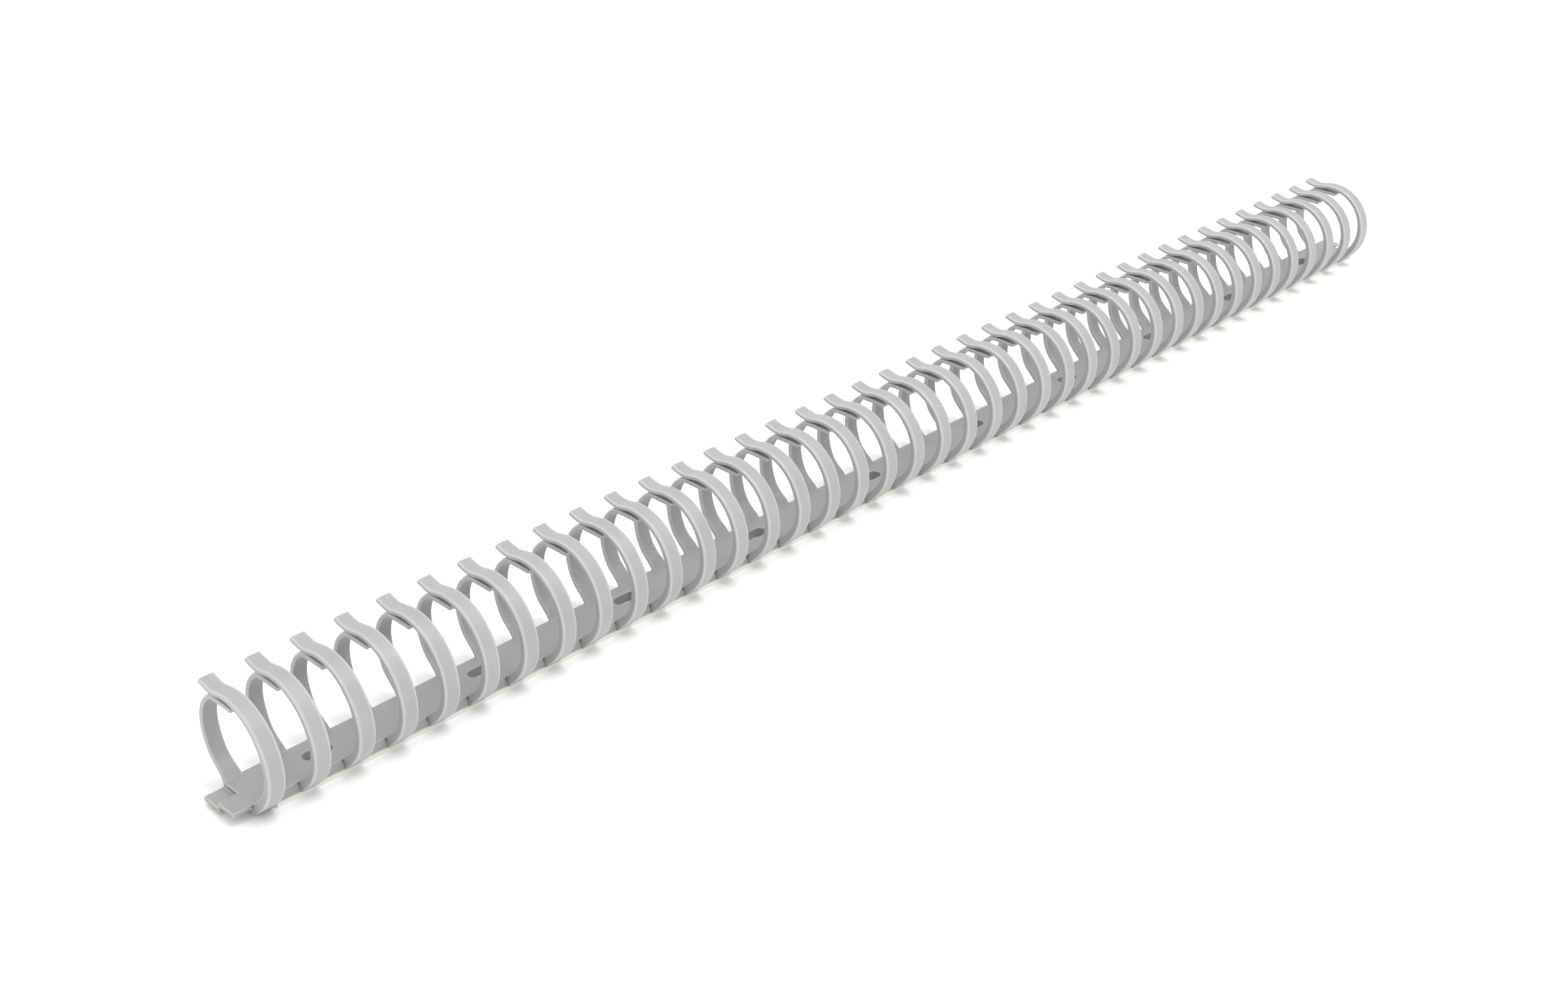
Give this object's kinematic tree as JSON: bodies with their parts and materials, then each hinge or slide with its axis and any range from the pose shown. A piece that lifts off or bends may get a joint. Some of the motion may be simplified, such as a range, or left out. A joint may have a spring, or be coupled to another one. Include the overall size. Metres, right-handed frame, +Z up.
{
  "type": "open cable duct",
  "caption": "Flexible open cable duct: a slotted base strip with half-lap ends and rows of curved fingers that close over a wiring channel, on adhesive tape with a release liner",
  "frame": {"origin": "the middle of the release liner's underside, below the midpoint between the first and last rings of fingers, at the height of the surface that the duct lies on", "axes": "+X runs along the duct towards the end whose upper half lap is at the rear, +Y points to the side of the rear fingers, which are moulded in one piece with the base, and +Z points up from the base through the channel"},
  "size_m": [0.5052, 0.0294, 0.0306],
  "materials": {
    "plastic": "light grey polypropylene, satin",
    "foam_tape": "matt foam with an adhesive on both faces",
    "liner_paper": "smooth coated paper"
  },
  "bodies": {
    "base": {"base_moulding": "plastic", "adhesive_tape": "foam_tape"},
    "finger_01": {"front_finger_01": "plastic"},
    "finger_02": {"front_finger_02": "plastic"},
    "finger_03": {"front_finger_03": "plastic"},
    "finger_04": {"front_finger_04": "plastic"},
    "finger_05": {"front_finger_05": "plastic"},
    "finger_06": {"front_finger_06": "plastic"},
    "finger_07": {"front_finger_07": "plastic"},
    "finger_08": {"front_finger_08": "plastic"},
    "finger_09": {"front_finger_09": "plastic"},
    "finger_10": {"front_finger_10": "plastic"},
    "finger_11": {"front_finger_11": "plastic"},
    "finger_12": {"front_finger_12": "plastic"},
    "finger_13": {"front_finger_13": "plastic"},
    "finger_14": {"front_finger_14": "plastic"},
    "finger_15": {"front_finger_15": "plastic"},
    "finger_16": {"front_finger_16": "plastic"},
    "finger_17": {"front_finger_17": "plastic"},
    "finger_18": {"front_finger_18": "plastic"},
    "finger_19": {"front_finger_19": "plastic"},
    "finger_20": {"front_finger_20": "plastic"},
    "finger_21": {"front_finger_21": "plastic"},
    "finger_22": {"front_finger_22": "plastic"},
    "finger_23": {"front_finger_23": "plastic"},
    "finger_24": {"front_finger_24": "plastic"},
    "finger_25": {"front_finger_25": "plastic"},
    "finger_26": {"front_finger_26": "plastic"},
    "finger_27": {"front_finger_27": "plastic"},
    "finger_28": {"front_finger_28": "plastic"},
    "finger_29": {"front_finger_29": "plastic"},
    "finger_30": {"front_finger_30": "plastic"},
    "finger_31": {"front_finger_31": "plastic"},
    "finger_32": {"front_finger_32": "plastic"},
    "finger_33": {"front_finger_33": "plastic"},
    "finger_34": {"front_finger_34": "plastic"},
    "finger_35": {"front_finger_35": "plastic"},
    "finger_36": {"front_finger_36": "plastic"},
    "finger_37": {"front_finger_37": "plastic"},
    "finger_38": {"front_finger_38": "plastic"},
    "finger_39": {"front_finger_39": "plastic"},
    "finger_40": {"front_finger_40": "plastic"},
    "liner": {"release_liner": "liner_paper"}
  },
  "joints": [
    {"name": "finger_01_bend", "type": "hinge", "parent": "base", "child": "finger_01", "pos_m": [-0.24375, -0.0068, 0.001], "axis": [1, 0, 0], "range_deg": [0, 35], "stiffness_Nm_per_rad": 0.02},
    {"name": "finger_02_bend", "type": "hinge", "parent": "base", "child": "finger_02", "pos_m": [-0.23125, -0.0068, 0.001], "axis": [1, 0, 0], "range_deg": [0, 35], "stiffness_Nm_per_rad": 0.02},
    {"name": "finger_03_bend", "type": "hinge", "parent": "base", "child": "finger_03", "pos_m": [-0.21875, -0.0068, 0.001], "axis": [1, 0, 0], "range_deg": [0, 35], "stiffness_Nm_per_rad": 0.02},
    {"name": "finger_04_bend", "type": "hinge", "parent": "base", "child": "finger_04", "pos_m": [-0.20625, -0.0068, 0.001], "axis": [1, 0, 0], "range_deg": [0, 35], "stiffness_Nm_per_rad": 0.02},
    {"name": "finger_05_bend", "type": "hinge", "parent": "base", "child": "finger_05", "pos_m": [-0.19375, -0.0068, 0.001], "axis": [1, 0, 0], "range_deg": [0, 35], "stiffness_Nm_per_rad": 0.02},
    {"name": "finger_06_bend", "type": "hinge", "parent": "base", "child": "finger_06", "pos_m": [-0.18125, -0.0068, 0.001], "axis": [1, 0, 0], "range_deg": [0, 35], "stiffness_Nm_per_rad": 0.02},
    {"name": "finger_07_bend", "type": "hinge", "parent": "base", "child": "finger_07", "pos_m": [-0.16875, -0.0068, 0.001], "axis": [1, 0, 0], "range_deg": [0, 35], "stiffness_Nm_per_rad": 0.02},
    {"name": "finger_08_bend", "type": "hinge", "parent": "base", "child": "finger_08", "pos_m": [-0.15625, -0.0068, 0.001], "axis": [1, 0, 0], "range_deg": [0, 35], "stiffness_Nm_per_rad": 0.02},
    {"name": "finger_09_bend", "type": "hinge", "parent": "base", "child": "finger_09", "pos_m": [-0.14375, -0.0068, 0.001], "axis": [1, 0, 0], "range_deg": [0, 35], "stiffness_Nm_per_rad": 0.02},
    {"name": "finger_10_bend", "type": "hinge", "parent": "base", "child": "finger_10", "pos_m": [-0.13125, -0.0068, 0.001], "axis": [1, 0, 0], "range_deg": [0, 35], "stiffness_Nm_per_rad": 0.02},
    {"name": "finger_11_bend", "type": "hinge", "parent": "base", "child": "finger_11", "pos_m": [-0.11875, -0.0068, 0.001], "axis": [1, 0, 0], "range_deg": [0, 35], "stiffness_Nm_per_rad": 0.02},
    {"name": "finger_12_bend", "type": "hinge", "parent": "base", "child": "finger_12", "pos_m": [-0.10625, -0.0068, 0.001], "axis": [1, 0, 0], "range_deg": [0, 35], "stiffness_Nm_per_rad": 0.02},
    {"name": "finger_13_bend", "type": "hinge", "parent": "base", "child": "finger_13", "pos_m": [-0.09375, -0.0068, 0.001], "axis": [1, 0, 0], "range_deg": [0, 35], "stiffness_Nm_per_rad": 0.02},
    {"name": "finger_14_bend", "type": "hinge", "parent": "base", "child": "finger_14", "pos_m": [-0.08125, -0.0068, 0.001], "axis": [1, 0, 0], "range_deg": [0, 35], "stiffness_Nm_per_rad": 0.02},
    {"name": "finger_15_bend", "type": "hinge", "parent": "base", "child": "finger_15", "pos_m": [-0.06875, -0.0068, 0.001], "axis": [1, 0, 0], "range_deg": [0, 35], "stiffness_Nm_per_rad": 0.02},
    {"name": "finger_16_bend", "type": "hinge", "parent": "base", "child": "finger_16", "pos_m": [-0.05625, -0.0068, 0.001], "axis": [1, 0, 0], "range_deg": [0, 35], "stiffness_Nm_per_rad": 0.02},
    {"name": "finger_17_bend", "type": "hinge", "parent": "base", "child": "finger_17", "pos_m": [-0.04375, -0.0068, 0.001], "axis": [1, 0, 0], "range_deg": [0, 35], "stiffness_Nm_per_rad": 0.02},
    {"name": "finger_18_bend", "type": "hinge", "parent": "base", "child": "finger_18", "pos_m": [-0.03125, -0.0068, 0.001], "axis": [1, 0, 0], "range_deg": [0, 35], "stiffness_Nm_per_rad": 0.02},
    {"name": "finger_19_bend", "type": "hinge", "parent": "base", "child": "finger_19", "pos_m": [-0.01875, -0.0068, 0.001], "axis": [1, 0, 0], "range_deg": [0, 35], "stiffness_Nm_per_rad": 0.02},
    {"name": "finger_20_bend", "type": "hinge", "parent": "base", "child": "finger_20", "pos_m": [-0.00625, -0.0068, 0.001], "axis": [1, 0, 0], "range_deg": [0, 35], "stiffness_Nm_per_rad": 0.02},
    {"name": "finger_21_bend", "type": "hinge", "parent": "base", "child": "finger_21", "pos_m": [0.00625, -0.0068, 0.001], "axis": [1, 0, 0], "range_deg": [0, 35], "stiffness_Nm_per_rad": 0.02},
    {"name": "finger_22_bend", "type": "hinge", "parent": "base", "child": "finger_22", "pos_m": [0.01875, -0.0068, 0.001], "axis": [1, 0, 0], "range_deg": [0, 35], "stiffness_Nm_per_rad": 0.02},
    {"name": "finger_23_bend", "type": "hinge", "parent": "base", "child": "finger_23", "pos_m": [0.03125, -0.0068, 0.001], "axis": [1, 0, 0], "range_deg": [0, 35], "stiffness_Nm_per_rad": 0.02},
    {"name": "finger_24_bend", "type": "hinge", "parent": "base", "child": "finger_24", "pos_m": [0.04375, -0.0068, 0.001], "axis": [1, 0, 0], "range_deg": [0, 35], "stiffness_Nm_per_rad": 0.02},
    {"name": "finger_25_bend", "type": "hinge", "parent": "base", "child": "finger_25", "pos_m": [0.05625, -0.0068, 0.001], "axis": [1, 0, 0], "range_deg": [0, 35], "stiffness_Nm_per_rad": 0.02},
    {"name": "finger_26_bend", "type": "hinge", "parent": "base", "child": "finger_26", "pos_m": [0.06875, -0.0068, 0.001], "axis": [1, 0, 0], "range_deg": [0, 35], "stiffness_Nm_per_rad": 0.02},
    {"name": "finger_27_bend", "type": "hinge", "parent": "base", "child": "finger_27", "pos_m": [0.08125, -0.0068, 0.001], "axis": [1, 0, 0], "range_deg": [0, 35], "stiffness_Nm_per_rad": 0.02},
    {"name": "finger_28_bend", "type": "hinge", "parent": "base", "child": "finger_28", "pos_m": [0.09375, -0.0068, 0.001], "axis": [1, 0, 0], "range_deg": [0, 35], "stiffness_Nm_per_rad": 0.02},
    {"name": "finger_29_bend", "type": "hinge", "parent": "base", "child": "finger_29", "pos_m": [0.10625, -0.0068, 0.001], "axis": [1, 0, 0], "range_deg": [0, 35], "stiffness_Nm_per_rad": 0.02},
    {"name": "finger_30_bend", "type": "hinge", "parent": "base", "child": "finger_30", "pos_m": [0.11875, -0.0068, 0.001], "axis": [1, 0, 0], "range_deg": [0, 35], "stiffness_Nm_per_rad": 0.02},
    {"name": "finger_31_bend", "type": "hinge", "parent": "base", "child": "finger_31", "pos_m": [0.13125, -0.0068, 0.001], "axis": [1, 0, 0], "range_deg": [0, 35], "stiffness_Nm_per_rad": 0.02},
    {"name": "finger_32_bend", "type": "hinge", "parent": "base", "child": "finger_32", "pos_m": [0.14375, -0.0068, 0.001], "axis": [1, 0, 0], "range_deg": [0, 35], "stiffness_Nm_per_rad": 0.02},
    {"name": "finger_33_bend", "type": "hinge", "parent": "base", "child": "finger_33", "pos_m": [0.15625, -0.0068, 0.001], "axis": [1, 0, 0], "range_deg": [0, 35], "stiffness_Nm_per_rad": 0.02},
    {"name": "finger_34_bend", "type": "hinge", "parent": "base", "child": "finger_34", "pos_m": [0.16875, -0.0068, 0.001], "axis": [1, 0, 0], "range_deg": [0, 35], "stiffness_Nm_per_rad": 0.02},
    {"name": "finger_35_bend", "type": "hinge", "parent": "base", "child": "finger_35", "pos_m": [0.18125, -0.0068, 0.001], "axis": [1, 0, 0], "range_deg": [0, 35], "stiffness_Nm_per_rad": 0.02},
    {"name": "finger_36_bend", "type": "hinge", "parent": "base", "child": "finger_36", "pos_m": [0.19375, -0.0068, 0.001], "axis": [1, 0, 0], "range_deg": [0, 35], "stiffness_Nm_per_rad": 0.02},
    {"name": "finger_37_bend", "type": "hinge", "parent": "base", "child": "finger_37", "pos_m": [0.20625, -0.0068, 0.001], "axis": [1, 0, 0], "range_deg": [0, 35], "stiffness_Nm_per_rad": 0.02},
    {"name": "finger_38_bend", "type": "hinge", "parent": "base", "child": "finger_38", "pos_m": [0.21875, -0.0068, 0.001], "axis": [1, 0, 0], "range_deg": [0, 35], "stiffness_Nm_per_rad": 0.02},
    {"name": "finger_39_bend", "type": "hinge", "parent": "base", "child": "finger_39", "pos_m": [0.23125, -0.0068, 0.001], "axis": [1, 0, 0], "range_deg": [0, 35], "stiffness_Nm_per_rad": 0.02},
    {"name": "finger_40_bend", "type": "hinge", "parent": "base", "child": "finger_40", "pos_m": [0.24375, -0.0068, 0.001], "axis": [1, 0, 0], "range_deg": [0, 35], "stiffness_Nm_per_rad": 0.02},
    {"name": "liner_removal", "type": "slide", "parent": "base", "child": "liner", "axis": [0, -1, 0], "range_m": [0, 0.02]}
  ]
}
